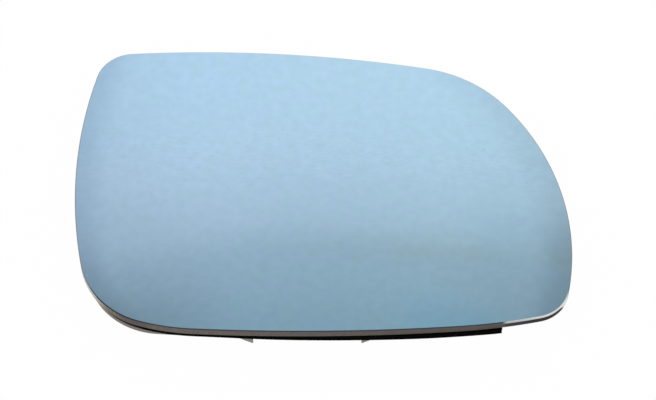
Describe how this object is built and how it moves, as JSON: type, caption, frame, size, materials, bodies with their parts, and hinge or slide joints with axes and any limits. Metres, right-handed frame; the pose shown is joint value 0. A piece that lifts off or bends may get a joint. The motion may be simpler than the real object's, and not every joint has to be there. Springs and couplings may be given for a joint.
{
  "type": "car door mirror glass",
  "caption": "Convex blue-tinted car door mirror glass with a ground edge, glued by a foam pad to a ribbed backing plate whose open snap ring clips on the mirror drive.",
  "frame": {"origin": "on the axis of the snap ring, in the plane of the ring's rear rim, on which the part lies", "axes": "+X to the right and +Y up as seen by the driver, +Z out of the glass along the ring's axis"},
  "size_m": [0.1698, 0.1155, 0.02],
  "materials": {
    "mirror": "polished, blue-tinted, with a ground edge",
    "foam": "matt black closed-cell foam",
    "plate_plastic": "light warm grey, fine moulded grain"
  },
  "bodies": {
    "root": {"mirror_glass": "mirror", "foam_pad": "foam", "backing_plate": "plate_plastic"}
  },
  "joints": []
}
